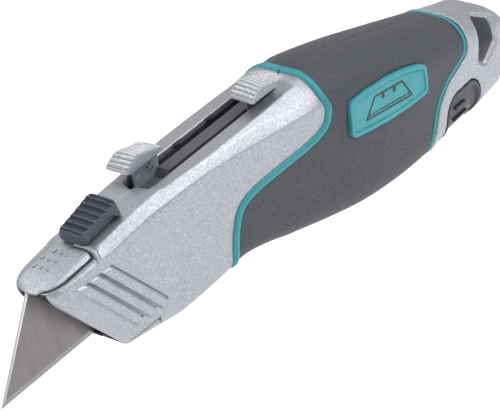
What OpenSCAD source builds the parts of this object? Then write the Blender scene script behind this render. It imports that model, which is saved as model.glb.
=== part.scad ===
// Twin-blade utility knife: two trapezoid blades side by side, each with its own thumb slider, in a
// two-shell body with over-moulded grips and a swing-out magazine for spare blades.
// +X points along the slide towards the blade tip, +Y to the left side, +Z up.
// Every module draws in the slide frame, whose origin is the front end of the slider slot on the flat
// top face in the mid-plane; placed() then moves it to the frame of the finished part.

/* [Blades] */
// Length of a blade's cutting edge
blade_len = 62; // [58:0.5:62]
// Height of a blade from cutting edge to back
blade_h = 18.8; // [18:0.1:19]
// Thickness of a blade
blade_t = 0.6; // [0.5:0.05:0.6]
// Run of a blade's slanted end along the edge
blade_slant = 13.7; // [12:0.1:15]
// Width of the ground bevel
bevel_w = 1.3; // [1:0.1:2]
// Distance from the mid-plane to the middle of a blade
blade_y = 2.2; // [2.2:0.05:2.3]
// How far the tip of an extended blade is ahead of the slot's front end
tip_x = 45.2; // [44:0.1:45.5]
// Height of the cutting edge
edge_z = -24.4; // [-24.6:0.1:-24.2]
// Slider travel
travel = 30.8; // [28:0.2:31]

/* [Body] */
// Rear end of the tail
tail_x = -110; // [-111:0.5:-109]
// Thickness of the shells' roof over the blade bay
roof_t = 1.7; // [1.5:0.1:1.7]
// Thickness of the soft grips
grip_t = 1.6; // [1.4:0.1:1.7]
// How far the front bead stands proud of the shells
bead_rise = 0.5; // [0.3:0.1:0.6]
// Half-width of the inner bay for blades and carriers
bay_y = 5.6; // [5.5:0.1:5.6]
// Gap kept along the line where the shells meet
seam = 0.1; // [0.1:0.05:0.2]

/* [Slot and sliders] */
// Half-width of the slider slot
slot_y = 3.33; // [3.3:0.01:3.4]
// Rear end of the slider slot
slot_rear = -40.1; // [-40.4:0.1:-40.1]
// Half-width of the centre rail
rail_y = 1.5; // [1.4:0.05:1.5]
// Length of a slider cap
cap_len = 10.4; // [10:0.1:10.6]
// Height of a slider cap's underside above the top face
cap_z = 2.7; // [2.5:0.1:3]

/* [Release button] */
// Rearward travel of the release button
button_travel = 3.6; // [2:0.1:3.6]
// Slope of the nose top, in degrees
nose_slope = 6; // [5:0.5:7]

/* [Magazine] */
// Height of the magazine pivot
pivot_z = -33; // [-33.2:0.1:-32.8]
// Distance of the magazine pivot behind the slot's front end
pivot_x = -92.2; // [-92.5:0.1:-92]
// Tilt of the stored blades
magazine_tilt = 8; // [7:0.5:9]
// Spare blades in the magazine
spares = 4; // [1:1:4]

/* [Hidden] */
$fn = 48;

// Place of the finished part's frame: the middle of its bounding box
frame_shift = [32.4, 0, 16.1];

silver = [0.72, 0.73, 0.76];
dark = [0.28, 0.29, 0.33];
teal = [0.29, 0.64, 0.67];
steel = [0.62, 0.61, 0.6];
clear = [0.8, 0.82, 0.85, 0.5];

// Side view and plan of the body, as round stations along X that smooth() joins
top_line = [[-114, -18.8], [-106, -16.9], [-94, -13.2], [-78, -8], [-64, -3.6], [-52, -0.6], [-45, 0.2],
            [-38, 0], [2, 0], [20, -1.9], [28.5, -2.8], [33, -3.8], [38, -5.4]];
bottom_line = [[-114, -36.5], [-100, -37.6], [-90, -37.4], [-78, -36.9], [-62, -36.2], [-48, -34.6],
               [-31, -30.2], [-24, -27.9], [-17, -26.5], [-9, -27.3], [2, -27.8], [10, -26.6], [20, -25.2],
               [38, -25]];
half_width = [[-114, 8.2], [-100, 9.2], [-86, 11], [-70, 12.5], [-56, 12.5], [-42, 11.3], [-28, 9.9],
              [-12, 8.6], [2, 7.8], [20, 7.3], [38, 6.4]];
top_flat = [[-114, 3], [-94, 2.5], [-70, 2], [-52, 3], [-40, 6], [-10, 6.4], [20, 5.9], [38, 4.8]];
// Height and depth of the rounded top corner, then its roundness: 0 is a straight chamfer, 1 a full round
corner_drop = [[-114, 5], [-94, 7], [-70, 8.6], [-52, 8.4], [-42, 4.8], [-28, 3.4], [-12, 2.1], [2, 1.4],
               [38, 1.4]];
corner_round = [[-114, 0.85], [-52, 0.85], [-44, 0.4], [-38, 0.12], [38, 0.12]];
// Radius of the bottom corners
foot_round = [[-114, 4], [-50, 6], [-36, 5], [-24, 3.4], [-10, 2.2], [38, 1.6]];

// Catmull-Rom curve through a list of [x, value] stations
function at(list, i) = list[max(0, min(len(list) - 1, i))];
function span(list, x, i = 0) = i >= len(list) - 2 || x < list[i + 1][0] ? i : span(list, x, i + 1);
function slope(list, i) =
    (at(list, i + 1)[1] - at(list, i - 1)[1]) / (at(list, i + 1)[0] - at(list, i - 1)[0]);
function hermite(a, b, ma, mb, h, t) =
    (2*t*t*t - 3*t*t + 1)*a + (t*t*t - 2*t*t + t)*h*ma + (3*t*t - 2*t*t*t)*b + (t*t*t - t*t)*h*mb;
function smooth(list, x) =
    let (i = span(list, x), a = list[i], b = at(list, i + 1), h = b[0] - a[0])
    hermite(a[1], b[1], slope(list, i), slope(list, i + 1), h, (x - a[0]) / h);

function bezier(a, c, b, t) = (1 - t)*(1 - t)*a + 2*t*(1 - t)*c + t*t*b;

// Half of the cross-section at x, from top centre to bottom centre, inset by d
corner_steps = 4;
function half_section(x, d) =
    let (top = smooth(top_line, x) - d, bottom = smooth(bottom_line, x) + d,
         w = smooth(half_width, x) - d, u = smooth(top_flat, x) - 0.4*d,
         drop = smooth(corner_drop, x), round = lookup(x, corner_round),
         a = [u, top], b = [w, top - drop], corner = round*[w, top] + (1 - round)*(a + b)/2,
         r = smooth(foot_round, x), low = [w - 0.5, bottom + r], foot = [w - r, bottom])
    concat(
        [for (i = [0:corner_steps]) bezier(a, corner, b, i/corner_steps)],
        [for (i = [0:corner_steps]) bezier(low, [w - 0.7, bottom], foot, i/corner_steps)]);

function ring(x, d) =
    let (half = half_section(x, d), n = len(half))
    concat([for (p = half) [x, p[0], p[1]]],
           [for (i = [n - 1:-1:0]) [x, -half[i][0], half[i][1]]]);

station_step = 6;
body_front = 38;
body_stations = concat([for (x = [-112:station_step:body_front - 1]) x], [body_front]);

// Solid skinned over rings of equal length
module skin(rings) {
    n = len(rings[0]);
    last = (len(rings) - 1)*n;
    points = [for (r = rings) each r];
    sides = [for (i = [0:len(rings) - 2]) for (j = [0:n - 1])
             let (a = i*n + j, b = i*n + (j + 1)%n) each [[a, b, a + n], [b, b + n, a + n]]];
    ends = [[for (j = [n - 1:-1:0]) j], [for (j = [0:n - 1]) last + j]];
    polyhedron(points, concat(sides, ends));
}

module body(d = 0) {
    skin([for (x = body_stations) ring(x, d)]);
}

module placed() {
    translate(frame_shift) children();
}

// Side-view outline extruded across the body from y0 to y1
module across(y0, y1) {
    translate([0, y1, 0]) rotate([90, 0, 0]) linear_extrude(y1 - y0) children();
}

module box(x, y, z) {
    translate([x[0], y[0], z[0]]) cube([x[1] - x[0], y[1] - y[0], z[1] - z[0]]);
}

module both_sides() {
    children();
    mirror([0, 1, 0]) children();
}

// Side view of the whole shell pair: slanted nose, rounded tail
nose_top = [33.3, -3];
nose_mouth = [33.3, -4.2];
nose_heel = [18.2, -24.5];
module side_outline() {
    difference() {
        translate([tail_x, -45]) square([nose_mouth[0] - tail_x, 60]);
        polygon([nose_mouth, nose_heel, [14.5, -30], [60, -30], [60, 10], [nose_top[0], 10], nose_top]);
        tail_corner([tail_x, -21], 8, -35);
        tail_corner([tail_x + 1.6, -30], 12, 25);
    }
}

// Cut that leaves a slanted, chamfered corner on the tail
module tail_corner(p, size, turn) {
    translate(p) rotate(turn) translate([-size, -size]) square([size, 2*size]);
}

// Lines that bound the soft parts in side view, from above the body to below it
front_line = [[-46.2, 8], [-46.2, 1], [-45.6, -3], [-45.6, -6.5], [-44, -9.8], [-39.5, -11.4], [-31, -12.2],
              [-22.5, -13], [-18, -14.8], [-15.8, -18.4], [-14.4, -23], [-13.6, -28], [-13, -34]];
rear_line = [[-95.4, -4], [-94.8, -10], [-94.4, -14], [-93.8, -18], [-92, -20.6], [-87.6, -21.8],
             [-83.8, -23], [-80.6, -25], [-78.4, -27.5], [-76.7, -30.5], [-75.2, -34], [-73.9, -38],
             [-73, -43]];
curve_steps = 3;
function spline(p, i, t) =
    let (a = at(p, i - 1), b = p[i], c = at(p, i + 1), d = at(p, i + 2))
    0.5*(2*b + (c - a)*t + (2*a - 5*b + 4*c - d)*t*t + (3*b - a - 3*c + d)*t*t*t);
function curve(p) =
    concat([for (i = [0:len(p) - 2]) for (k = [0:curve_steps - 1]) spline(p, i, k/curve_steps)],
           [p[len(p) - 1]]);
function reversed(p) = [for (i = [len(p) - 1:-1:0]) p[i]];
// The same line moved forward by d
function beside(p, d) =
    [for (i = [0:len(p) - 1]) let (v = at(p, i + 1) - at(p, i - 1)) p[i] + d*[-v[1], v[0]]/norm(v)];

front_edge = curve(front_line);
rear_edge = curve(rear_line);
bead_half = 1;
line_half = 0.45;

module bead_band() {
    polygon(concat(beside(front_edge, bead_half), reversed(beside(front_edge, -bead_half))));
}

module rear_band() {
    polygon(concat(beside(rear_edge, line_half), reversed(beside(rear_edge, -line_half))));
}

module grip_area() {
    polygon(concat(beside(front_edge, -bead_half), reversed(beside(rear_edge, line_half))));
}

module soft_area() {
    polygon(concat(beside(front_edge, bead_half), reversed(beside(rear_edge, -line_half))));
}

// Layer of the body between an outer and an inner inset
module layer(outer, inner) {
    difference() {
        body(outer);
        body(inner);
    }
}

// Inside spaces ---------------------------------------------------------------------------------
bay_floor = -24.6;
roof = -roof_t;
module bay_outline() {
    polygon([[-52, bay_floor], [-52, -6.5], [-46.5, -6], [-43, -2], [-43, roof], [2, roof], [33, -4.4],
             [44, -5.5], [44, bay_floor]]);
}

nose_bay_y = 4.6;
mouth_y = 3.9;
module blade_bay() {
    intersection() {
        across(-bay_y, bay_y) bay_outline();
        union() {
            box([-60, 12], [-bay_y, bay_y], [-30, 0]);
            box([11, 24], [-nose_bay_y, nose_bay_y], [-30, 0]);
            box([23, 50], [-mouth_y, mouth_y], [-30, 0]);
        }
    }
}

first_detent = -5.5;
module slot() {
    box([slot_rear, 0], [-slot_y, slot_y], [-6, 4]);
    for (i = [0:3])
        translate([first_detent - i*travel/3, 0, roof])
            box([-1, 1], [-slot_y - 0.8, slot_y + 0.8], [-1, 0.8]);
}

button_pos = [13.8, -1.28];
stem_half_x = 1.15;
stem_play = [0.65, 0.25];
module button_slot() {
    button_slot_x = [button_pos[0] - stem_half_x - button_travel - stem_play[0],
                     button_pos[0] + stem_half_x + stem_play[1]];
    box(button_slot_x, [-1.7, 1.7], [-6, 2]);
}

hole_corners = [[-99.4, -26], [-101.5, -18.2], [-104.6, -20], [-104.6, -24.2], [-100.6, -26.8]];
hole_round = 0.9;
module hole_outline(grow = 0) {
    polygon(hole_corners);
    for (i = [0:4]) {
        a = hole_corners[i];
        b = hole_corners[(i + 1)%5];
        translate(a) circle(hole_round + grow);
        translate(a) rotate(atan2(b[1] - a[1], b[0] - a[0])) translate([0, -hole_round - grow])
            square([norm(b - a), 2*(hole_round + grow)]);
    }
}

pivot = [pivot_x, pivot_z];
ear_r = 4.9;
ear_gap = 0.3;
ear_front = [5, 0.4];
pin_r = 1.2;
pin_deep = 3.1;
pin_end_y = 8.5;
ear_foot = [-78.4, -40];
// Point where the line from a foot point touches the circle of radius r about c
function tangent_point(foot, c, r) =
    let (v = foot - c, turn = atan2(v[1], v[0]) + acos(r/norm(v))) c + r*[cos(turn), sin(turn)];
module ear_outline(grow = 0) {
    r = ear_r + grow;
    c = pivot + ear_front;
    foot = ear_foot + [grow, 0];
    translate(pivot) circle(r);
    translate(c) circle(r);
    polygon([pivot, pivot + [0, r], c + [0, r], c]);
    polygon([pivot, c, tangent_point(foot, c, r), foot, [pivot_x, -40]]);
}

ear_inner_y = 7.4;
boss_r = 2.3;
boss_end_y = 6.5;
module ear_recess() {
    difference() {
        across(-20, 20) ear_outline(ear_gap);
        intersection() {
            body(grip_t);
            box([-120, 0], [-ear_inner_y + 0.1, ear_inner_y - 0.1], [-60, 0]);
        }
    }
    difference() {
        along_y(pivot, -ear_inner_y, ear_inner_y, ear_r + ear_gap);
        along_y(pivot, -boss_end_y, boss_end_y, boss_r);
        box([pivot_x - 0.4, 0], [-20, 20], [pivot_z - 0.5, 0]);
    }
}

// Stored blades: local frame at the pivot, tilted with the tray
store_rear = -3.6;
store_floor = -3;
module stored(y0, y1) {
    translate([pivot_x, 0, pivot_z]) rotate([0, -magazine_tilt, 0]) translate([store_rear, 0, store_floor])
        across(y0, y1) children();
}

function blade_outline(length, height, run) =
    [[0, 0], [run, height], [length - run, height], [length, 0]];

tray_y = 1.7;
tray_slot_y = 1.85;
tray_wall = 0.6;
belly_gap = 0.3;
module tray_outline(grow = 0) {
    polygon([[-92.2, -40], [-78, -36.9 + belly_gap], [-62, -36.2 + belly_gap], [-48, -34.6 + belly_gap],
             [-37, -32.2 + belly_gap], [-32.8 + grow, -28.6], [-49.2 + grow, -10.2 + grow],
             [-85.2 - grow, -15.3 + grow], [-96.6 - grow, -35]]);
}

module tray_slot() {
    across(-tray_slot_y, tray_slot_y) {
        tray_outline(0.5);
        polygon([[-96, -33], [-60, -30], [-32.3, -28.6], [-32.3, -50], [-97.6, -50], [-97.6, -36]]);
        translate(pivot) circle(ear_r + 0.9);
    }
}

pocket_x = [-80, -59];
pocket_y = 7.6;
pocket_z = [-30.5, -15];
module relief_pockets() {
    box(pocket_x, [-pocket_y, pocket_y], pocket_z);
}

// Screws and dowels along Y, as [x, z]
screws = [[-90.4, -17.5], [-102.4, -31.4]];
screw_seat_y = [-8.9, -7.4];
screw_tip_y = 4;
screw_r = 1.15;
screw_head_r = 2.2;
screw_head_h = 1.3;
screw_bore_r = 2.35;
screw_play = 0.05;
key_r = 1.2;
key_deep = 0.8;
dowels = [[-30, -27.2], [-75, -11.4]];
dowel_r = 0.9;
dowel_half = 2.6;

module along_y(p, y0, y1, r) {
    translate([p[0], y1, p[1]]) rotate([90, 0, 0]) cylinder(h = y1 - y0, r = r);
}

module fastener_holes() {
    for (i = [0:1]) {
        along_y(screws[i], screw_seat_y[i] + screw_head_h - 0.1, screw_tip_y + 0.5, screw_r + screw_play);
        along_y(screws[i], -20, screw_seat_y[i] + screw_head_h, screw_bore_r);
    }
    for (p = dowels) along_y(p, -dowel_half - 0.1, dowel_half + 0.1, dowel_r + 0.02);
    both_sides() along_y(pivot, ear_inner_y - pin_deep - 0.1, 12, pin_r + 0.02);
}

module inner_spaces() {
    blade_bay();
    slot();
    button_slot();
    across(-20, 20) hole_outline();
    ear_recess();
    tray_slot();
    relief_pockets();
    fastener_holes();
}

// Nose hook: the part of the right shell that reaches over the left one, and its lower strip
hook_rear = 19.4;
hook_floor = [-2.58, -5.85];
hook_core = [5.2, -6];
strip_x = [8.5, 17.8];
strip_top = -24.7;
module hook_zone(grow = 0) {
    across(-seam - 1, 20)
        polygon([[hook_rear - grow, hook_floor[0] - grow], [60, hook_floor[1] - grow], [60, 10],
                 [hook_rear - grow, 10]]);
    box([hook_rear - grow, 60], [-seam - 1, hook_core[0] + grow], [hook_core[1] - grow, 10]);
    box([strip_x[0] - grow, 60], [-seam - 1, 20], [-40, strip_top + grow]);
}

// Keeps the nose within a rounded front in plan
nose_round_r = 7.5;
nose_round_x = 25.6;
module nose_plan() {
    box([-130, nose_round_x], [-30, 30], [-60, 30]);
    translate([nose_round_x, 0, -60]) cylinder(h = 90, r = nose_round_r);
}

module shell() {
    difference() {
        intersection() {
            body();
            across(-30, 30) side_outline();
            nose_plan();
        }
        difference() {
            across(-30, 30) soft_area();
            body(grip_t);
        }
        inner_spaces();
    }
}

module housing_right() {
    placed() color(silver) difference() {
        shell();
        difference() {
            box([-130, 60], [0, 30], [-60, 30]);
            hook_zone();
        }
    }
}

// Three raised finger ribs on the near side of the nose
rib_run = [[17.4, -6.6], [6.3, -21.7]];
rib_step = 3.4;
rib_w = 1.6;
rib_h = 0.45;
rib_root = 1.4;
module side_ribs() {
    turn = atan2(rib_run[1][1] - rib_run[0][1], rib_run[1][0] - rib_run[0][0]);
    length = norm(rib_run[1] - rib_run[0]);
    for (i = [0:2])
        translate([rib_run[0][0] + i*rib_step, 7.4 - 0.2*i, rib_run[0][1]])
            rotate([0, -turn, 0]) box([0, length], [-rib_root, rib_h], [-rib_w/2, rib_w/2]);
}

module housing_left() {
    placed() color(silver) union() {
        difference() {
            shell();
            box([-130, 60], [-30, 0], [-60, 30]);
            hook_zone(seam);
        }
        side_ribs();
    }
}

module belly_slot() {
    box([-100, -31.5], [-tray_slot_y, tray_slot_y], [-60, -25]);
}

badge_corners = [[-50.8, -8.2], [-57, -8.4], [-64, -9.4], [-70, -10.9], [-76.4, -13.2], [-76.2, -16.5],
                 [-75.6, -20], [-69, -19.8], [-62, -19], [-55.5, -17.8], [-49.6, -16.4], [-50.4, -12]];
badge_y = [11.2, 12.85];
module grip(sign) {
    color(dark) difference() {
        intersection() {
            layer(0, grip_t);
            across(sign > 0 ? 0 : -30, sign > 0 ? 30 : 0) grip_area();
        }
        belly_slot();
        across(-20, 20) ear_outline(ear_gap);
        across(sign > 0 ? badge_y[0] : -30, sign > 0 ? 30 : -badge_y[0]) polygon(badge_corners);
        along_y(screws[0], -20, 0, screw_bore_r);
    }
}

module grip_left() {
    placed() grip(1);
}

module grip_right() {
    placed() grip(-1);
}

module trim_front(sign) {
    color(teal) difference() {
        intersection() {
            layer(-bead_rise, grip_t);
            across(sign > 0 ? 0 : -30, sign > 0 ? 30 : 0) bead_band();
        }
        belly_slot();
    }
}

module trim_front_left() {
    placed() trim_front(1);
}

module trim_front_right() {
    placed() trim_front(-1);
}

module trim_rear(sign) {
    color(teal) difference() {
        intersection() {
            layer(0, grip_t);
            across(sign > 0 ? 0 : -30, sign > 0 ? 30 : 0) rear_band();
        }
        belly_slot();
        across(-20, 20) ear_outline(ear_gap);
    }
}

module trim_rear_left() {
    placed() trim_rear(1);
}

module trim_rear_right() {
    placed() trim_rear(-1);
}

module badge() {
    color(teal) across(badge_y[0], badge_y[1]) polygon(badge_corners);
}

module badge_left() {
    placed() badge();
}

module badge_right() {
    placed() mirror([0, 1, 0]) badge();
}

module center_rail() {
    placed() color(dark) across(-rail_y, rail_y)
        polygon([[-42.8, -8.8], [-42.8, -1.8], [-40, -1.8], [-40, -1.1], [-8, -1.1], [-6.6, -2.5],
                 [4.2, -2.5], [4.2, -11], [16.6, -11], [16.6, -3.7], [30.4, -5.2], [31.6, -6],
                 [17.4, bay_floor], [-31.5, bay_floor], [-31.5, -8.8]]);
}

// Blade in the extended place, its middle plane at y = 0
notch_w = 3.1;
notch_deep = 3.4;
notch_gap = 13;
module blade() {
    back_z = edge_z + blade_h;
    color(steel) difference() {
        intersection() {
            translate([tip_x - blade_len, 0, edge_z]) across(-1, 1)
                polygon(blade_outline(blade_len, blade_h, blade_slant));
            translate([tip_x - blade_len - 1, 0, edge_z]) rotate([90, 0, 90]) linear_extrude(blade_len + 2)
                polygon([[-0.02, 0], [-blade_t/2, bevel_w], [-blade_t/2, blade_h + 1],
                         [blade_t/2, blade_h + 1], [blade_t/2, bevel_w], [0.02, 0]]);
        }
        for (s = [-1, 1]) translate([tip_x - blade_len/2 + s*notch_gap/2, 0, back_z]) {
            box([-notch_w/2, notch_w/2], [-1, 1], [-notch_deep + notch_w/2, 1]);
            along_y([0, -notch_deep + notch_w/2], -1, 1, notch_w/2);
        }
    }
}

module blade_right() {
    placed() translate([0, -blade_y, 0]) blade();
}

module blade_left() {
    placed() translate([-travel, blade_y, 0]) blade();
}

// Right-hand carrier, slider, screw and spring in the extended place
carrier_y = [-5.3, -2.6];
fin_x = [-8.6, -1];
fin_y = [-3.2, -2.6];
stem_x = [-9, -0.6];
stem_y = [-2.5, -1.65];
slider_screw = [-6.2, 0.7];
module carrier() {
    notch_x = tip_x - blade_len/2 - notch_gap/2;
    notch_z = edge_z + blade_h - notch_deep + notch_w/2;
    color(dark) difference() {
        union() {
            across(carrier_y[0], carrier_y[1])
                polygon([[-15, -17], [-15, -6.5], [-12, -3.2], [9, -3.2], [10, -4.2], [10, -13], [6, -17]]);
            box(fin_x, fin_y, [-4, 2.2]);
            along_y([notch_x, notch_z], carrier_y[1] - 0.1, -1.8, notch_w/2 - 0.15);
            across(carrier_y[1] - 0.1, -1.95)
                polygon([[-14, -15.5], [-10.6, -15.5], [-5.2, -8], [-9.5, -8]]);
        }
        along_y(slider_screw, -4, -2, 0.6);
    }
}

module carrier_right() {
    placed() carrier();
}

module carrier_left() {
    placed() translate([-travel, 0, 0]) mirror([0, 1, 0]) carrier();
}

cap_peak = [-2.3, 5.4];
cap_pitch = 14;
cap_crown_r = 7;
cap_y = [-6.5, -0.2];
cap_x = [1 - cap_len, 1];
module slider() {
    color(clear) difference() {
        union() {
            cap_blank();
            box(stem_x, stem_y, [-3, cap_z + 0.5]);
        }
        along_y(slider_screw, -4, -1, 0.6);
    }
}

module cap_blank() {
    intersection() {
        across(cap_y[0], cap_y[1])
            polygon([[cap_x[1], cap_z - 0.3], [cap_x[1] - 0.2, cap_z + 1], cap_peak,
                     cap_peak - [3.4, 0.85], [cap_x[0] + 0.2, cap_z + 0.9], [cap_x[0], cap_z]]);
        translate([cap_peak[0], (cap_y[0] + cap_y[1])/2, cap_peak[1] + 0.1 - cap_crown_r])
            rotate([0, 90 - cap_pitch, 0]) cylinder(h = 4*cap_len, r = cap_crown_r, center = true);
    }
}

module slider_right() {
    placed() slider();
}

module slider_left() {
    placed() translate([-travel, 0, 0]) mirror([0, 1, 0]) slider();
}

module slider_screw() {
    color(steel) difference() {
        union() {
            along_y(slider_screw, -3.1, stem_y[1] + 0.01, 0.55);
            along_y(slider_screw, stem_y[1], stem_y[1] + 0.45, 1);
        }
        translate([slider_screw[0], stem_y[1] + 0.45, slider_screw[1]]) rotate([0, 40, 0])
            box([-1.2, 1.2], [-0.25, 1], [-0.15, 0.15]);
    }
}

module slider_screw_right() {
    placed() slider_screw();
}

module slider_screw_left() {
    placed() translate([-travel, 0, 0]) mirror([0, 1, 0]) slider_screw();
}

leaf_t = 0.3;
leaf_line = [[-11, -2.88], [-9, -2.88], [first_detent - 0.7, -1.8], [first_detent + 0.7, -1.8],
             [-2, -2.88], [3, -2.88]];
module detent_spring() {
    color(steel) across(-5.1, -3.6)
        polygon(concat(leaf_line, reversed([for (p = leaf_line) p - [0, leaf_t]])));
}

module detent_spring_right() {
    placed() detent_spring();
}

module detent_spring_left() {
    placed() translate([-travel, 0, 0]) mirror([0, 1, 0]) detent_spring();
}

// Release button: its own frame has x along the nose top and z away from it
button_half = 5.5;
button_half_y = 4.2;
button_h = 3.9;
button_lift = 0.35;
module on_nose() {
    translate([button_pos[0], 0, button_pos[1]]) rotate([0, nose_slope, 0]) children();
}

module release_button() {
    placed() color(dark) on_nose() {
        intersection() {
            across(-button_half_y, button_half_y)
                polygon([[-button_half, button_lift], [button_half, button_lift], [button_half, 2.2],
                         [button_half - 0.5, button_h - 0.9], [-button_half + 2, button_h],
                         [-button_half + 0.3, button_h - 0.6], [-button_half, button_h - 1.6]]);
            union() {
                translate([0, 0, -5]) cylinder(h = 20, r = 6.2);
                box([-button_half, 0], [-button_half_y, button_half_y], [-5, 10]);
            }
        }
        box([-stem_half_x, stem_half_x], [-1.5, 1.5], [-5, 0.5]);
    }
}

module release_wedge() {
    placed() color(steel) on_nose() across(-1.3, 1.3)
        polygon([[-3.4, -8.4], [-3.4, -6.6], [-stem_half_x, -5], [stem_half_x, -5], [1.6, -6],
                 [1.6, -7.4], [0, -8.4]]);
}

spring_r = 1;
spring_wire = 0.32;
spring_turns = 6;
spring_z = -4.2;
spring_x = [4.25, 12.3];
module release_spring() {
    steps = 16;
    count = spring_turns*steps;
    length = spring_x[1] - spring_x[0] - spring_wire;
    placed() color(steel) translate([spring_x[0] + spring_wire/2, 0, spring_z])
        skin([for (i = [0:count]) let (a = 360*i/steps, x = length*i/count)
              [for (j = [5:-1:0]) let (b = 60*j, r = spring_r + spring_wire/2*cos(b))
               [x + spring_wire/2*sin(b), r*cos(a), r*sin(a)]]]);
}

module magazine() {
    placed() color(dark) difference() {
        union() {
            difference() {
                intersection() {
                    body();
                    across(-20, 20) ear_outline();
                }
                intersection() {
                    body(grip_t - 0.2);
                    box([-120, 0], [-ear_inner_y, ear_inner_y], [-60, 0]);
                }
            }
            intersection() {
                across(-tray_y, tray_y) {
                    tray_outline();
                    translate(pivot) circle(ear_r);
                }
                body(belly_gap);
            }
        }
        stored(-tray_y + tray_wall - 0.15, tray_y - tray_wall + 0.15)
            polygon([[-0.3, -0.1], [blade_slant - 0.3, blade_h], [blade_slant - 0.3, 30],
                     [blade_len - blade_slant + 0.3, 30], [blade_len - blade_slant + 0.3, blade_h],
                     [blade_len + 0.3, -0.1]]);
        both_sides() along_y(pivot, ear_inner_y - 1, pin_end_y + 0.1, pin_r + 0.1);
        for (i = [0:2]) both_sides() translate([-88.6 + 0.6*i, 0, -31.9 - 2.1*i])
            box([-1.8 - 0.5*i, 1.8 + 0.5*i], [ear_inner_y + 1.7, 20], [-0.45, 0.45]);
    }
}

module spare_blades() {
    placed() color(steel) for (i = [0:spares - 1])
        translate([0, (i - (spares - 1)/2)*(blade_t + 0.01), 0]) stored(-blade_t/2, blade_t/2)
            polygon(blade_outline(blade_len, blade_h, blade_slant));
}

module magazine_pivots() {
    placed() color(steel) both_sides() along_y(pivot, ear_inner_y - pin_deep, pin_end_y, pin_r);
}

// Leaf that hangs from the pocket's ceiling beside the tray
catch_x = [-66, -60.5];
catch_y = [2.1, 2.5];
catch_len = 9;
module magazine_catch() {
    placed() color(steel) box(catch_x, catch_y, [pocket_z[1] - catch_len, pocket_z[1]]);
}

module housing_screws() {
    placed() color(steel) for (i = [0:1]) difference() {
        union() {
            along_y(screws[i], screw_seat_y[i] + screw_head_h, screw_tip_y, screw_r);
            along_y(screws[i], screw_seat_y[i], screw_seat_y[i] + screw_head_h, screw_head_r);
        }
        translate([screws[i][0], screw_seat_y[i], screws[i][1]]) rotate([90, 0, 0])
            translate([0, 0, -key_deep]) cylinder(h = 2, r = key_r, $fn = 6);
    }
}

module locating_dowels() {
    placed() color(steel) for (p = dowels) along_y(p, -dowel_half, dowel_half, dowel_r);
}

housing_right();
housing_left();
grip_right();
grip_left();
trim_front_right();
trim_front_left();
trim_rear_right();
trim_rear_left();
badge_right();
badge_left();
center_rail();
blade_right();
blade_left();
carrier_right();
carrier_left();
slider_right();
slider_left();
slider_screw_right();
slider_screw_left();
detent_spring_right();
detent_spring_left();
release_button();
release_wedge();
release_spring();
magazine();
spare_blades();
magazine_pivots();
magazine_catch();
housing_screws();
locating_dowels();
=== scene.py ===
"""Looks for the twin-blade utility knife. Shapes are drawn in the CAD's slide frame, in millimetres:
origin at the front end of the slider slot on the top face, +X to the blade tip, +Y left, +Z up.
Most shapes are distance fields, each skinned into a mesh and put in the row frame; the blades and the return
spring are built as meshes directly."""
import math

import bpy
import numpy as np
from mathutils import Matrix, Vector


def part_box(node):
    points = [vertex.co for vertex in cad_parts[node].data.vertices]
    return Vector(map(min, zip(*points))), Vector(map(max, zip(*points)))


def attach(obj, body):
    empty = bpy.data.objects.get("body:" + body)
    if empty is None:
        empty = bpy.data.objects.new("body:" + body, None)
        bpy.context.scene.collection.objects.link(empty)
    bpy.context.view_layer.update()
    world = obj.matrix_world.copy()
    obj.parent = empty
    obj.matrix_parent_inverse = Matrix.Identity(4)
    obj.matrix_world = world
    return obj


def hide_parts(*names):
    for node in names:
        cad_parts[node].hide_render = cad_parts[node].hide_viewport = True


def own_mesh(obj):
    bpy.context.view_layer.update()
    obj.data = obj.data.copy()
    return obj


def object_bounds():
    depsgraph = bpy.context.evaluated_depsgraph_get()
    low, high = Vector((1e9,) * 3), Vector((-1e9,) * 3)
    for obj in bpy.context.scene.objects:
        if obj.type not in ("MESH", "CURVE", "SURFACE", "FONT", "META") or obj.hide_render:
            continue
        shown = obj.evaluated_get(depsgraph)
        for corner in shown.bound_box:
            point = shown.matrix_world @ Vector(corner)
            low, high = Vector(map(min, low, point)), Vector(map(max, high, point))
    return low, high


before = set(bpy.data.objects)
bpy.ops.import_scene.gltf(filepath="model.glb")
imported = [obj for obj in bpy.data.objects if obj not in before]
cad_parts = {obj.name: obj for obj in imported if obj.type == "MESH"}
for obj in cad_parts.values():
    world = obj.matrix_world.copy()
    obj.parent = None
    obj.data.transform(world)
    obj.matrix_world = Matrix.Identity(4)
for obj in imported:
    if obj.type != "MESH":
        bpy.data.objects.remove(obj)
cad_box = [list(p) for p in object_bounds()]

# The blade's tip and its lower edge in the slide frame, which place that frame in the row frame
TIP_X, EDGE_Z = 45.2, -24.4
low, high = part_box("blade_right")
SHIFT = np.array([high.x*1000 - TIP_X, 0.0, low.z*1000 - EDGE_Z])
TRAVEL = (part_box("blade_right")[1].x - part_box("blade_left")[1].x)*1000

# ---------------------------------------------------------------- profile tables, as in the CAD
# Stations (x, value) along the body: top and bottom line, half width, half width of the flat top,
# drop of the chamfer, roundness of the chamfer's outer corner, radius of the lower edge
TOP = [(-114, -18.8), (-106, -16.9), (-94, -13.2), (-78, -8), (-64, -3.6), (-52, -0.6), (-45, 0.2), (-38, 0),
       (2, 0), (20, -1.9), (28.5, -2.8), (33, -3.8), (38, -5.4)]
BOTTOM = [(-114, -36.5), (-100, -37.6), (-90, -37.4), (-78, -36.9), (-62, -36.2), (-48, -34.6), (-31, -30.2),
          (-24, -27.9), (-17, -26.5), (-9, -27.3), (2, -27.8), (10, -26.6), (20, -25.2), (38, -25)]
WIDTH = [(-114, 8.2), (-100, 9.2), (-86, 11), (-70, 12.5), (-56, 12.5), (-42, 11.3), (-28, 9.9), (-12, 8.6),
         (2, 7.8), (20, 7.3), (38, 6.4)]
FLAT = [(-114, 3), (-94, 2.5), (-70, 2), (-52, 3), (-40, 6), (-10, 6.4), (20, 5.9), (38, 4.8)]
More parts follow.
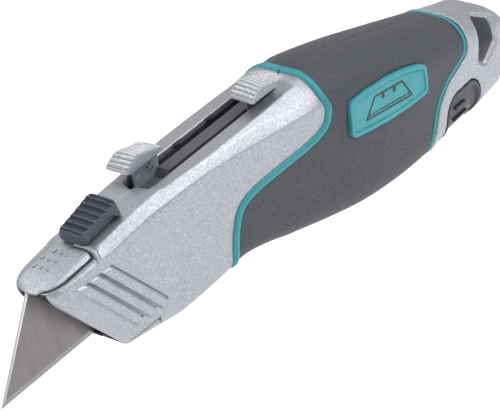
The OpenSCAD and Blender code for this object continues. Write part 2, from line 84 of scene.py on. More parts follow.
DROP = [(-114, 5), (-94, 7), (-70, 8.6), (-52, 8.4), (-42, 4.8), (-28, 3.4), (-12, 2.1), (2, 1.4), (38, 1.4)]
ROUND = [(-114, 0.85), (-52, 0.85), (-44, 0.4), (-38, 0.12), (38, 0.12)]
FOOT = [(-114, 4), (-50, 6), (-36, 5), (-24, 3.4), (-10, 2.2), (38, 1.6)]
BODY_FRONT = 37.9
STATIONS_PER_MM = 1.8


def smooth(table, x):
    """Catmull-Rom through the stations, at every x."""
    t = np.array(table, float)
    k, v = t[:, 0], t[:, 1]
    slopes = np.empty(len(k))
    slopes[1:-1] = (v[2:] - v[:-2])/(k[2:] - k[:-2])
    slopes[0], slopes[-1] = (v[1] - v[0])/(k[1] - k[0]), (v[-1] - v[-2])/(k[-1] - k[-2])
    i = np.clip(np.searchsorted(k, x, "right") - 1, 0, len(k) - 2)
    h = k[i + 1] - k[i]
    s = (x - k[i])/h
    return ((2*s**3 - 3*s**2 + 1)*v[i] + (s**3 - 2*s**2 + s)*h*slopes[i]
            + (3*s**2 - 2*s**3)*v[i + 1] + (s**3 - s**2)*h*slopes[i + 1])


def linear(table, x):
    """Straight lines through the stations, at every x."""
    t = np.array(table, float)
    return np.interp(x, t[:, 0], t[:, 1])


def half_section(x, inset):
    """Half outline at x, from the top's edge round to the foot, inset by some millimetres."""
    top, bottom = float(smooth(TOP, x)) - inset, float(smooth(BOTTOM, x)) + inset
    w, u = float(smooth(WIDTH, x)) - inset, float(smooth(FLAT, x)) - 0.4*inset
    drop, soft, r = float(smooth(DROP, x)), float(linear(ROUND, x)), float(smooth(FOOT, x))
    a, b = np.array([u, top]), np.array([w, top - drop])
    corner = soft*np.array([w, top]) + (1 - soft)*(a + b)/2
    lowest, foot = np.array([w - 0.5, bottom + r]), np.array([w - r, bottom])
    t = np.linspace(0, 1, 11)[:, None]
    first = (1 - t)**2*a + 2*t*(1 - t)*corner + t**2*b
    second = (1 - t)**2*lowest + 2*t*(1 - t)*np.array([w - 0.7, bottom]) + t**2*foot
    return np.vstack([[0, top], first, second, [0, bottom]])


# ---------------------------------------------------------------- distance fields
def segment_distance(ax, az, bx, bz, U, V):
    """Distance to the segment from (ax, az) to (bx, bz)."""
    dx, dz = bx - ax, bz - az
    t = np.clip(((U - ax)*dx + (V - az)*dz)/(dx*dx + dz*dz + 1e-12), 0, 1)
    return np.hypot(U - ax - t*dx, V - az - t*dz)


def polyline(points, U, V):
    """Distance to an open line."""
    d = np.full(np.broadcast(U, V).shape, 1e9)
    for (ax, az), (bx, bz) in zip(points[:-1], points[1:]):
        d = np.minimum(d, segment_distance(ax, az, bx, bz, U, V))
    return d


def polygon(points, U, V):
    """Signed distance to a closed outline, negative inside."""
    p = [tuple(q) for q in points]
    d = polyline(p + [p[0]], U, V)
    inside = np.zeros(d.shape, bool)
    for (ax, az), (bx, bz) in zip(p, p[1:] + [p[0]]):
        if az != bz:
            inside ^= ((az > V) != (bz > V)) & (U < (bx - ax)*(V - az)/(bz - az) + ax)
    return np.where(inside, -d, d)


def rounded(points, radius, steps=6):
    """Outline with each corner rounded by a curve that starts radius away from it."""
    out = []
    n = len(points)
    for i in range(n):
        r = radius[i] if hasattr(radius, "__len__") else radius
        a, b, c = (np.array(points[(i + k) % n], float) for k in (-1, 0, 1))
        if r <= 0:
            out.append(tuple(b))
            continue
        la, lc = np.linalg.norm(a - b), np.linalg.norm(c - b)
        p, q = b + (a - b)/la*min(r, la*0.49), b + (c - b)/lc*min(r, lc*0.49)
        for t in np.linspace(0, 1, steps):
            out.append(tuple((1 - t)**2*p + 2*t*(1 - t)*b + t**2*q))
    return out


def curve(points, steps=6):
    """Catmull-Rom line through a few points."""
    p = [np.array(q, float) for q in points]
    out = []
    for i in range(len(p) - 1):
        a, b, c, d = p[max(i - 1, 0)], p[i], p[i + 1], p[min(i + 2, len(p) - 1)]
        for k in range(steps):
            t = k/steps
            out.append(0.5*(2*b + (c - a)*t + (2*a - 5*b + 4*c - d)*t*t + (3*b - a - 3*c + d)*t**3))
    return [tuple(q) for q in out + [p[-1]]]


def both(a, b, r=0.0):
    """Intersection, its edge rounded to radius r."""
    m = np.maximum(a, b)
    if r <= 0:
        return m
    return np.where((a > -r) & (b > -r), np.hypot(np.maximum(a + r, 0), np.maximum(b + r, 0)) - r, m)


def cut(a, b, r=0.0):
    """Field a less field b, the new edge rounded to radius r."""
    return both(a, -b, r)


def join(a, b, r=0.0):
    """Union, its inner corner filled to radius r."""
    return -both(-a, -b, r)


def box_field(U, V, W, u, v, w):
    """Field of a box between the pairs u, v and w."""
    return np.maximum(np.maximum(np.maximum(u[0] - U, U - u[1]), np.maximum(v[0] - V, V - v[1])),
                      np.maximum(w[0] - W, W - w[1]))


class Grid:
    """Grid lines along the three axes, and their coordinates shaped for broadcasting."""
    def __init__(self, xs, ys, zs):
        self.xs, self.ys, self.zs = (np.asarray(a, float) for a in (xs, ys, zs))
        self.X = self.xs[:, None, None].astype(np.float32)
        self.Y = self.ys[None, :, None].astype(np.float32)
        self.Z = self.zs[None, None, :].astype(np.float32)

    def side(self, make):
        """A field of the side view, made once in (x, z)."""
        U, V = np.meshgrid(self.xs, self.zs, indexing="ij")
        return make(U, V)[:, None, :].astype(np.float32)

    def plan(self, make):
        """A field of the top view, made once in (x, y)."""
        U, V = np.meshgrid(self.xs, self.ys, indexing="ij")
        return make(U, V)[:, :, None].astype(np.float32)

    def body(self, edge=0.35):
        """Distance to the lofted body, its edges rounded by edge."""
        first, last = self.xs[0], self.xs[-1]
        stations = np.linspace(first, last, max(2, int(STATIONS_PER_MM*(last - first)) + 2))
        Y, Z = np.meshgrid(np.abs(self.ys), self.zs, indexing="ij")
        slices = []
        for x in stations:
            p = half_section(min(x, BODY_FRONT), edge)
            d = polyline(p, Y, Z)
            order = p[::-1]
            width = np.interp(Z, order[:, 1] + np.arange(len(order))*1e-7, order[:, 0])
            inside = (Z < p[0, 1]) & (Z > p[-1, 1]) & (Y < width)
            slices.append(np.where(inside, -d, d) - edge)
        slices = np.array(slices, np.float32)
        f = (self.xs - first)/(last - first)*(len(stations) - 1)
        i = np.clip(f.astype(int), 0, len(stations) - 2)
        w = (f - i)[:, None, None].astype(np.float32)
        return slices[i]*(1 - w) + slices[i + 1]*w


# A cell's corners, the pairs of corners that its edges join, and how often its point is moved to the surface
CORNERS = np.array([(i, j, k) for i in (0, 1) for j in (0, 1) for k in (0, 1)])
EDGES = [(a, b) for a in range(8) for b in range(a + 1, 8) if np.abs(CORNERS[a] - CORNERS[b]).sum() == 1]
CORRECTIONS = 2


def skin(name, field, grid, mirror=False):
    """Mesh of the field's zero surface, in the row frame and in metres. Each cell that the surface crosses
    gets one point, and each grid line that crosses it gets one quad."""
    axes = (grid.xs, grid.ys, grid.zs)
    shape = tuple(len(axis) for axis in axes)
    f = np.ascontiguousarray(np.broadcast_to(field, shape)).astype(np.float32)
    f[0], f[-1], f[:, 0], f[:, -1], f[:, :, 0], f[:, :, -1] = (np.maximum(a, 0.05) for a in (
        f[0], f[-1], f[:, 0], f[:, -1], f[:, :, 0], f[:, :, -1]))
    inside = f < 0
    count = np.zeros(tuple(n - 1 for n in f.shape), np.int8)
    for i, j, k in CORNERS:
        count += inside[i:f.shape[0] - 1 + i, j:f.shape[1] - 1 + j, k:f.shape[2] - 1 + k]
    active = (count > 0) & (count < 8)
    cells = np.argwhere(active)
    ids = np.full(active.shape, -1, np.int32)
    ids[active] = np.arange(len(cells))
    values = np.stack([f[tuple((cells + c).T)] for c in CORNERS], 1)
    total, hits = np.zeros((len(cells), 3)), np.zeros((len(cells), 1))
    for a, b in EDGES:
        m = (values[:, a] < 0) != (values[:, b] < 0)
        t = (values[m, a]/(values[m, a] - values[m, b]))[:, None]
        total[m] += CORNERS[a] + t*(CORNERS[b] - CORNERS[a])
        hits[m] += 1
    t = total/hits
    h = np.stack([np.diff(axis)[cells[:, n]] for n, axis in enumerate(axes)], 1)
    for _ in range(CORRECTIONS):
        w = [np.where(c, t, 1 - t) for c in CORNERS]
        here = sum(values[:, k]*w[k].prod(1) for k in range(8))
        slope = np.stack([sum(values[:, k]*(1 if c[n] else -1)*w[k][:, (n + 1) % 3]*w[k][:, (n + 2) % 3]
                              for k, c in enumerate(CORNERS)) for n in range(3)], 1)/h
        step = here/np.maximum((slope**2).sum(1), 0.05)
        t = np.clip(t - 0.8*step[:, None]*slope/h, 0.02, 0.98)
    v = cells + t
    points = np.stack([np.interp(v[:, n], np.arange(len(axis)), axis) for n, axis in enumerate(axes)], 1)
    faces = []
    for n in range(3):
        p, q = (n + 1) % 3, (n + 2) % 3
        here = [slice(1, -1)]*3
        here[n] = slice(0, -1)
        there = list(here)
        there[n] = slice(1, None)
        a, b = inside[tuple(here)], inside[tuple(there)]
        for side in (True, False):
            e = np.argwhere((a != b) & (a == side))
            start = np.zeros(3, int)
            start[p] = start[q] = 1
            e = e + start
            quad = []
            for dp, dq in ((-1, -1), (0, -1), (0, 0), (-1, 0)):
                c = e.copy()
                c[:, p] += dp
                c[:, q] += dq
                quad.append(ids[tuple(c.T)])
            quad = np.stack(quad, 1)
            faces.append(quad if side else quad[:, ::-1])
    faces = np.concatenate(faces)
    if mirror:
        points[:, 1] *= -1
        faces = faces[:, ::-1]
    points = (points + SHIFT)/1000
    mesh = bpy.data.meshes.new(name)
    mesh.vertices.add(len(points))
    mesh.vertices.foreach_set("co", points.astype(np.float32).ravel())
    mesh.loops.add(faces.size)
    mesh.loops.foreach_set("vertex_index", faces.astype(np.int32).ravel())
    mesh.polygons.add(len(faces))
    mesh.polygons.foreach_set("loop_start", np.arange(0, faces.size, 4, dtype=np.int32))
    mesh.update(calc_edges=True)
    mesh.validate()
    mesh.shade_smooth()
    obj = bpy.data.objects.new(name, mesh)
    bpy.context.scene.collection.objects.link(obj)
    print("PIECE", name, len(faces))
    return obj


def steps(*spans):
    """Grid lines at the given spacing over each (start, end, spacing) span."""
    out = [spans[0][0]]
    for a, b, h in spans:
        n = max(1, round((b - a)/h))
        out += list(a + (b - a)*np.arange(1, n + 1)/n)
    return np.array(out)


# ---------------------------------------------------------------- shared outlines, as in the CAD
# The grip's front and rear edge, the side plate, the lanyard hole and the magazine's pivot, in side view
FRONT_LINE = curve([(-46.2, 8), (-46.2, 1), (-45.6, -3), (-45.6, -6.5), (-44, -9.8), (-39.5, -11.4),
                    (-31, -12.2), (-22.5, -13), (-18, -14.8), (-15.8, -18.4), (-14.4, -23), (-13.6, -28),
                    (-13, -34)])
REAR_LINE = curve([(-95.4, -4), (-94.8, -10), (-94.4, -14), (-93.8, -18), (-92, -20.6), (-87.6, -21.8),
                   (-83.8, -23), (-80.6, -25), (-78.4, -27.5), (-76.7, -30.5), (-75.2, -34), (-73.9, -38),
                   (-73, -43)])
SOFT_AREA = FRONT_LINE + REAR_LINE[::-1]
BADGE = [(-50.8, -8.2), (-57, -8.4), (-64, -9.4), (-70, -10.9), (-76.4, -13.2), (-76.2, -16.5),
         (-75.6, -20), (-69, -19.8), (-62, -19), (-55.5, -17.8), (-49.6, -16.4), (-50.4, -12)]
BADGE_CORNER = [1.6, 0, 0, 0, 1.6, 0, 1.6, 0, 0, 0, 1.6, 0]
HOLE = [(-99.4, -26), (-101.5, -18.2), (-104.6, -20), (-104.6, -24.2), (-100.6, -26.8)]
PIVOT = (-92.2, -33.0)
EAR_R, EAR_GAP = 4.9, 0.3
# Slider slot's half width and rear end, the grips' thickness, the tray's half width
SLOT_Y, SLOT_REAR = 3.33, -40.1
GRIP_T = 1.6
TRAY_Y = 1.7
# The shell's side view, and the bay for blades and carriers
SIDE = rounded([(33.3, 20), (33.3, -4.2), (18.2, -24.5), (13.4, -31), (12, -60), (-96, -60), (-108.4, -30),
                (-110, -26.57), (-110, -21), (-84, 16.1)], [0, 0.6, 1.2, 0, 0, 0, 3, 3, 4, 0])
BAY = [(-52, -24.6), (-52, -6.5), (-46.5, -6), (-43, -2), (-43, -1.7), (2, -1.7), (33, -4.4), (44, -5.5),
       (44, -24.6)]
# Openings: the belly slot for the tray, the tray's room, the two housing screws (x, z, y under the head)
BELLY_Y = 1.85
TRAY_PATH = [(-92.2, -50), (-37, -50), (-32.3, -28.6), (-48.7, -9.7), (-85.7, -14.8), (-97.1, -35)]
TRAY_MOUTH = [(-96, -33), (-60, -30), (-32.3, -28.6), (-32.3, -50), (-97.6, -50), (-97.6, -36)]
SCREWS = ((-90.4, -17.5, -7.6), (-102.4, -31.4, -6.1))
SCREW_R, SCREW_HEAD_R = 1.2, 2.35
# The nose: half width where the bevel beside the slot starts, fall of the hook's shoulders, round tip in plan
BEVEL_START = [(-34, 20), (-16, 6.9), (-8, 6), (0, 5.6), (17, 5.4), (19, 6)]
SHOULDER_Y, SHOULDER_FALL = 4, [(17, 0), (20, 0.45)]
ROUND_X, ROUND_R = 25.6, 7.5


def tangent(foot, c, r):
    """Where a line from foot touches the circle of radius r about c."""
    v = np.array(foot) - np.array(c)
    turn = math.atan2(v[1], v[0]) + math.acos(r/np.linalg.norm(v))
    return (c[0] + r*math.cos(turn), c[1] + r*math.sin(turn))


def ear(U, V, grow=0.0):
    """Side view of the magazine's ear."""
    r = EAR_R + grow
    c = (PIVOT[0] + 5, PIVOT[1] + 0.4)
    foot = (-78.4 + grow, -40)
    d = np.minimum(pivot_distance(U, V) - r, np.hypot(U - c[0], V - c[1]) - r)
    tongue = [(PIVOT[0], PIVOT[1] + r), (c[0], c[1] + r), tangent(foot, c, r), foot, (PIVOT[0], -40)]
    return np.minimum(d, polygon(tongue, U, V))


def pivot_distance(U, V):
    return np.hypot(U - PIVOT[0], V - PIVOT[1])


def hook_arc(y):
    """X of the hook's rear edge at y, on the top face."""
    return 19.3 + 0.055*np.maximum(y - 2.6, 0)**2 + 0.12*np.maximum(1.2 - y, 0)


def hook_region(g, grow=0.0):
    """The right shell's hook over the nose, and its strip under the left shell."""
    plate = -2.93 - 0.0807*(g.X - 19.4) - g.Z
    core = g.Y - 5.2 + np.clip(0.65*(g.X - 28), 0, 2.6)
    below = np.minimum(plate, np.maximum(core, -6 - g.Z))
    over = both(both(hook_arc(g.Y) - g.X, below, 0.3), -g.Y - 1.1) - grow
    under = box_field(g.X, g.Y, g.Z, (8.5, 60), (-1.1, 20), (-40, -24.7)) - grow
    return np.minimum(over, under)


def shell_field(g, b, heel=0.0):
    """Both shells in one piece: b is the body's distance, heel is what the nose's side view grows by."""
    top = smooth(TOP, g.xs)[:, None, None]
    start = linear(BEVEL_START, g.xs)[:, None, None]
    b = both(b, (np.abs(g.Y) - start)*0.72 + (g.Z - top)*0.69, 0.25)
    shoulder = np.maximum(np.abs(g.Y) - SHOULDER_Y, 0)*linear(SHOULDER_FALL, g.xs)[:, None, None]
    b = both(b, (g.Z - top + shoulder)*0.92, 0.4)
    nose_only = heel*np.clip((g.X - 8)/6, 0, 1)
    s = both(b, g.side(lambda U, V: polygon(SIDE, U, V)) - nose_only, 0.7)
    tip = g.plan(lambda U, V: (np.hypot(np.maximum(U - ROUND_X, 0), V) - ROUND_R
                               - 0.4*np.maximum(ROUND_X - U, 0)))
    s = both(s, tip, 1.3)
    soft = g.side(lambda U, V: polygon(SOFT_AREA, U, V))
    s = cut(s, np.maximum(soft - 0.9, -(b + GRIP_T)), 0.25)
    rear = g.side(lambda U, V: polyline(REAR_LINE, U, V))
    lip = np.hypot(rear - 1.3, b + 0.05) - 0.36
    s = join(s, np.where(soft > 0, np.maximum(lip, g.X + 60), 9), 0.3)
    line = np.hypot(rear - 0.72, b - 0.05) - 0.2
    return cut(s, np.where(soft > 0, np.maximum(line, g.X + 60), 9))


def slot_spaces(g, s):
    """The bay for blades and carriers, the sliders' run and slot with its notches, the button's opening."""
    bay = np.maximum(g.side(lambda U, V: polygon(BAY, U, V)),
                     np.abs(g.Y) - np.where(g.X < 12, 5.6, np.where(g.X < 24, 4.6, 3.9)))
    s = cut(s, bay)
    run_end = -43.2 + 0.425*(np.abs(g.Y) - 4.8)
    run = both(np.maximum(run_end - g.X, g.X + 1.2), -0.24 - g.Z, 0.5)
    s = cut(s, np.maximum(run, np.abs(g.Y) - 9), 0.12)
    front = np.where(g.Y < 0, 1.45 + 0.27*g.Y, 0.45 - 0.18*g.Y)
    slot = np.maximum(np.maximum(SLOT_REAR - g.X, g.X - front), np.abs(g.Y) - SLOT_Y)
    s = cut(s, np.maximum(slot, -6 - g.Z), 0.2)
    for i in range(4):
        x = -5.5 - i*TRAVEL/3
        notch = np.hypot(g.X - x, np.maximum(np.abs(g.Y) - SLOT_Y + 0.5, 0)) - 1.15
        s = cut(s, np.maximum(notch, np.maximum(-1.9 - g.Z, g.Z + 0.45)), 0.1)
    return cut(s, box_field(g.X, g.Y, g.Z, (8.4, 15.2), (-1.7, 1.7), (-8, 4)), 0.1)


def tail_spaces(g, s, b):
    """The lanyard hole, the ears' recess, the tray's room and the holes for screws and pivots."""
    hole = g.side(lambda U, V: polygon(HOLE, U, V) - 0.9)
    s = cut(s, hole - np.maximum(0, 0.9 + b), 0.35)
    recess = g.side(lambda U, V: ear(U, V, EAR_GAP))
    core = np.maximum(b + GRIP_T, np.abs(g.Y) - 7.3)
    s = cut(s, np.maximum(recess, -core), 0.2)
    disc = g.side(lambda U, V: np.maximum(pivot_distance(U, V) - 5.2, 2.3 - pivot_distance(U, V)))
    s = cut(s, np.maximum(disc, np.abs(g.Y) - 7.4))
    tray = g.side(lambda U, V: np.minimum(np.minimum(polygon(TRAY_PATH, U, V), polygon(TRAY_MOUTH, U, V)),
                                          pivot_distance(U, V) - 5.8))
    s = cut(s, np.maximum(tray, np.abs(g.Y) - BELLY_Y), 0.2)
    s = cut(s, box_field(g.X, g.Y, g.Z, (-80, -59), (-7.6, 7.6), (-30.5, -15)))
    for x, z, head in SCREWS:
        shaft = g.side(lambda U, V: np.hypot(U - x, V - z))
        s = cut(s, np.maximum(shaft - SCREW_R, g.Y - 4.5))
        s = cut(s, np.maximum(shaft - SCREW_HEAD_R, g.Y - head), 0.25)
    return cut(s, g.side(lambda U, V: pivot_distance(U, V) - 1.22) + 0*g.Y)


# Finger ribs: upper and lower end of the first one's rear edge, width, height, pitch at both ends
RIB_TOP, RIB_LOW, RIB_W, RIB_H = (18.0, -5.7), (5.8, -22.0), 1.75, 0.65
RIB_STEP_TOP, RIB_STEP_LOW = 3.3, 3.5


def side_ribs(g, s, b):
    """Three slanted ribs, full height at the rear edge and lower in front, with a sloped upper end."""
    for i in range(3):
        ax, az = RIB_TOP[0] + RIB_STEP_TOP*i, RIB_TOP[1]
        ux, uz = RIB_LOW[0] + RIB_STEP_LOW*i - ax, RIB_LOW[1] + 0.2*i - az
        length = math.hypot(ux, uz)
        ux, uz = ux/length, uz/length
        along = g.side(lambda U, V: (U - ax)*ux + (V - az)*uz)
        ahead = g.side(lambda U, V: (V - az)*ux - (U - ax)*uz)
        height = RIB_H*(1 - 0.3*ahead/RIB_W)*np.clip(1.3 - 0.6*along/length, 0, 1)
        height = np.minimum(height, 0.95*(az - g.Z))
        past = along - length
        ditch = np.maximum(np.maximum(g.Z - az + 0.15, past), np.hypot(ahead + 0.2, b - 0.05) - 0.5)
        thin = np.maximum(np.maximum(g.Z - az + 2, past), np.hypot(ahead - RIB_W - 0.1, b - 0.08) - 0.26)
        s = cut(s, np.minimum(ditch, thin), 0.05)
        region = np.maximum(np.maximum(-ahead, ahead - RIB_W), g.Z - az)
        region = np.maximum(region, past + 0.25*(ahead - RIB_W/2)**2)
        s = join(s, both(np.maximum(region, -b - 1), (b - height)*0.95, 0.07), 0.06)
    return s


# ---------------------------------------------------------------- materials
def material(name, base, metallic=0.0, roughness=0.5, **more):
    """A Principled material: the material, its node tree and its shader."""
    m = bpy.data.materials.new(name)
    m.use_nodes = True
    p = m.node_tree.nodes["Principled BSDF"]
    p.inputs["Base Color"].default_value = (*base, 1)
    p.inputs["Metallic"].default_value = metallic
    p.inputs["Roughness"].default_value = roughness
    for key, value in more.items():
        p.inputs[key.replace("_", " ")].default_value = value
    return m, m.node_tree, p


def node(tree, kind, **values):
    """A node, with its properties and the values of its inputs."""
    n = tree.nodes.new(kind)
    for key, value in values.items():
        if hasattr(n, key):
            setattr(n, key, value)
        else:
            n.inputs[key.replace("_", " ")].default_value = value
    return n


def coords(tree, stretch=None):
    """Object coordinates, scaled by stretch."""
    c = tree.nodes.new("ShaderNodeTexCoord")
    if stretch is None:
        return c.outputs["Object"]
    mapping = node(tree, "ShaderNodeMapping")
    mapping.inputs["Scale"].default_value = stretch
    tree.links.new(c.outputs["Object"], mapping.inputs["Vector"])
    return mapping.outputs["Vector"]


def noise(tree, vector, scale, detail=2.0, rough=0.5):
    n = node(tree, "ShaderNodeTexNoise", Scale=scale, Detail=detail, Roughness=rough)
    tree.links.new(vector, n.inputs["Vector"])
    return n.outputs["Fac"]


def ramp(tree, fac, stops):
    """Colours or grey values between the stops (position, colour)."""
    r = tree.nodes.new("ShaderNodeValToRGB")
    while len(r.color_ramp.elements) < len(stops):
        r.color_ramp.elements.new(0.5)
    for e, (at, colour) in zip(r.color_ramp.elements, stops):
        e.position = at
        e.color = (*colour, 1) if hasattr(colour, "__len__") else (colour, colour, colour, 1)
    tree.links.new(fac, r.inputs["Fac"])
    return r.outputs["Color"]


def bump(tree, p, height, strength, distance, before=None):
    b = node(tree, "ShaderNodeBump", Strength=strength, Distance=distance)
    tree.links.new(height, b.inputs["Height"])
    if before is not None:
        tree.links.new(before, b.inputs["Normal"])
    tree.links.new(b.outputs["Normal"], p.inputs["Normal"])
    return b.outputs["Normal"]


def mix(tree, fac, a, b, mode="MIX"):
    m = node(tree, "ShaderNodeMix", data_type="RGBA", blend_type=mode)
    for value, index in ((fac, 0), (a, 6), (b, 7)):
        if isinstance(value, bpy.types.NodeSocket):
            tree.links.new(value, m.inputs[index])
        else:
            m.inputs[index].default_value = value if index == 0 else (*value, 1)
    return m.outputs[2]


def two_tone(tree, share, fine, broad, dark, pale):
    """A mix of fine and broad noise, both between a dark and a pale colour."""
    stops = [(0.3, dark), (0.7, pale)]
    return mix(tree, share, ramp(tree, fine, stops), ramp(tree, broad, stops))


def pointiness(tree):
    """Above 0.5 along outer edges and below 0.5 in creases; the materials paint highlights and shade with it.
    """
    return tree.nodes.new("ShaderNodeNewGeometry").outputs["Pointiness"]


def silver_paint():
    """Satin metallic paint on a casting, with a painted highlight along its outer edges."""
    m, t, p = material("silver_paint", (0.5, 0.51, 0.54), 0.75, 0.42)
    v = coords(t)
    flake = noise(t, v, 2900, 2, 0.65)
    cloud = noise(t, v, 220, 2, 0.5)
    base = ramp(t, flake, [(0.3, (0.31, 0.32, 0.355)), (0.52, (0.4, 0.41, 0.45)),
                           (0.72, (0.54, 0.55, 0.59))])
    base = mix(t, 0.12, base, ramp(t, cloud, [(0.3, (0.38, 0.39, 0.43)), (0.7, (0.47, 0.48, 0.52))]))
    # Painted highlight: the paint turns paler along outer edges, where pointiness is high.
    edge = ramp(t, pointiness(t), [(0.54, 0.0), (0.66, 0.3)])
    base = mix(t, edge, base, (0.66, 0.66, 0.68))
    t.links.new(base, p.inputs["Base Color"])
    t.links.new(ramp(t, flake, [(0.3, 0.5), (0.7, 0.34)]), p.inputs["Roughness"])
    bump(t, p, flake, 0.4, 0.00004)
    return m


def grip_rubber():
    """Soft dark rubber with a leather-like grain."""
    m, t, p = material("grip_rubber", (0.1, 0.105, 0.125), 0.0, 0.55)
    v = coords(t)
    cells = node(t, "ShaderNodeTexVoronoi", feature="DISTANCE_TO_EDGE", Scale=2300)
    t.links.new(v, cells.inputs["Vector"])
    grain = ramp(t, cells.outputs["Distance"], [(0.0, 0.0), (0.25, 1.0)])
    soft = noise(t, v, 1900, 2, 0.6)
    base = ramp(t, soft, [(0.3, (0.049, 0.054, 0.069)), (0.7, (0.069, 0.075, 0.093))])
    base = mix(t, 0.3, base, grain, "MULTIPLY")
    t.links.new(base, p.inputs["Base Color"])
    t.links.new(ramp(t, soft, [(0.3, 0.62), (0.7, 0.48)]), p.inputs["Roughness"])
    first = bump(t, p, grain, 0.45, 0.00006)
    bump(t, p, soft, 0.35, 0.00006, first)
    p.inputs["Specular IOR Level"].default_value = 0.5
    return m


def teal_rubber(name, base):
    """Smooth coloured rubber."""
    m, t, p = material(name, base, 0.0, 0.4)
    v = coords(t)
    fine = noise(t, v, 1800, 2)
    broad = noise(t, v, 160, 3)
    dark, pale = tuple(c*0.88 for c in base), tuple(min(1, c*1.1) for c in base)
    t.links.new(two_tone(t, 0.5, fine, broad, dark, pale), p.inputs["Base Color"])
    t.links.new(ramp(t, broad, [(0.3, 0.46), (0.7, 0.34)]), p.inputs["Roughness"])
    bump(t, p, fine, 0.15, 0.00004)
    return m


def moulded(name, base, roughness=0.45, grain=1400):
    """Moulded plastic, with a painted highlight on its outer edges."""
    m, t, p = material(name, base, 0.0, roughness)
    v = coords(t)
    fine = noise(t, v, grain, 3, 0.6)
    broad = noise(t, v, 120, 3)
    dark, pale = tuple(c*0.85 for c in base), tuple(min(1, c*1.15) for c in base)
    # Painted highlight: a paler colour along the outer edges, where pointiness is high.
    edge = ramp(t, pointiness(t), [(0.52, 0.0), (0.6, 0.5)])
    painted_edge_highlight = tuple(min(1, c*1.8 + 0.02) for c in base)
    t.links.new(mix(t, edge, two_tone(t, 0.5, fine, broad, dark, pale), painted_edge_highlight), p.inputs["Base Color"])
    t.links.new(ramp(t, broad, [(0.3, roughness + 0.07), (0.7, roughness - 0.07)]), p.inputs["Roughness"])
    bump(t, p, fine, 0.2, 0.00005)
    return m


def brushed_steel(name, base, stretch=(30, 30, 1500), roughness=0.3):
    """Steel with fine lines, closest together along the axis with the largest stretch."""
    m, t, p = material(name, base, 1.0, roughness)
    v = coords(t, stretch)
    lines = noise(t, v, 3, 4, 0.7)
    broad = noise(t, coords(t), 60, 2)
    dark, pale = tuple(c*0.86 for c in base), tuple(min(1, c*1.12) for c in base)
    t.links.new(two_tone(t, 0.4, lines, broad, dark, pale), p.inputs["Base Color"])
    t.links.new(ramp(t, lines, [(0.3, roughness + 0.08), (0.7, roughness - 0.06)]), p.inputs["Roughness"])
    bump(t, p, lines, 0.12, 0.00003)
    return m


# Heights in the slide frame where the sliders turn from clear to milky; their half width over all, in metres
CLEAR_BELOW, MILKY_ABOVE = 1.6, 2.8
SLIDERS_Y = 0.007


def clear_plastic():
    """Milky above the foot flange, clearer in the stem below it; painted shade darkens its flanks and the
    creases between its ribs, and painted highlights whiten the rib edges.
    """
    m, t, p = material("clear_plastic", (0.84, 0.87, 0.9), 0.0, 0.14, IOR=1.5,
                       Coat_Weight=0.6, Coat_Roughness=0.03)
    v = coords(t)
    axes = t.nodes.new("ShaderNodeSeparateXYZ")
    t.links.new(v, axes.inputs[0])
    level = node(t, "ShaderNodeMapRange")
    level.inputs["From Min"].default_value = (SHIFT[2] + CLEAR_BELOW)/1000
    level.inputs["From Max"].default_value = (SHIFT[2] + MILKY_ABOVE)/1000
    t.links.new(axes.outputs["Z"], level.inputs["Value"])
    milky = level.outputs["Result"]
    t.links.new(ramp(t, milky, [(0.0, 0.5), (1.0, 0.4)]), p.inputs["Transmission Weight"])
    fine = noise(t, v, 500, 2)
    # Painted shade in the creases between the ribs and painted highlight on the rib edges, taken from
    # pointiness.
    painted_light_tone = ramp(t, pointiness(t), [(0.45, (0.04, 0.05, 0.08)), (0.49, (0.42, 0.45, 0.5)), (0.53, (1, 1, 1))])
    # Painted shade on the caps' flanks: the colour darkens near the middle plane and near the outer sides, by
    # distance across.
    across = node(t, "ShaderNodeMath", operation="ABSOLUTE")
    t.links.new(axes.outputs["Y"], across.inputs[0])
    span = node(t, "ShaderNodeMapRange")
    span.inputs["From Max"].default_value = SLIDERS_Y
    t.links.new(across.outputs[0], span.inputs["Value"])
    flank_shade, white = (0.42, 0.44, 0.49), (1, 1, 1)
    flank = ramp(t, span.outputs["Result"], [(0.05, flank_shade), (0.13, white), (0.86, white), (0.94, flank_shade)])
    painted_light_tone = mix(t, 1.0, painted_light_tone, flank, "MULTIPLY")
    painted_light_tone = mix(t, 0.1, painted_light_tone, ramp(t, fine, [(0.3, (0.6, 0.62, 0.65)), (0.7, (0.88, 0.9, 0.92))]))
    # Painted shade in the stem's creases and painted highlight on its edges.
    stem = ramp(t, pointiness(t), [(0.5, (0.42, 0.45, 0.52)), (0.58, (0.85, 0.87, 0.9))])
    t.links.new(mix(t, milky, stem, painted_light_tone), p.inputs["Base Color"])
    t.links.new(ramp(t, fine, [(0.3, 0.04), (0.7, 0.1)]), p.inputs["Roughness"])
    bump(t, p, fine, 0.06, 0.00006)
    return m


SILVER = silver_paint()
GRIP = grip_rubber()
TEAL = teal_rubber("teal_rubber", (0.022, 0.27, 0.3))
BADGE_TEAL = teal_rubber("badge_teal", (0.04, 0.31, 0.35))
BUTTON = moulded("button_plastic", (0.055, 0.062, 0.085), 0.42)
DARK = moulded("dark_plastic", (0.028, 0.034, 0.043), 0.38)
PAD = moulded("pad_plastic", (0.012, 0.012, 0.015), 0.3)
RAIL = moulded("rail_plastic", (0.05, 0.052, 0.06), 0.4)
MARK = moulded("mark_ink", (0.02, 0.022, 0.026), 0.5)
BLADE = brushed_steel("ground_steel", (0.225, 0.21, 0.208), (260, 260, 12), 0.4)
EDGE = brushed_steel("honed_steel", (0.29, 0.28, 0.285), (25, 400, 600), 0.3)
BRIGHT = brushed_steel("bright_steel", (0.72, 0.72, 0.72), (600, 600, 600), 0.28)
SPRING = brushed_steel("spring_steel", (0.42, 0.42, 0.44), (900, 900, 900), 0.32)
CLEAR = clear_plastic()


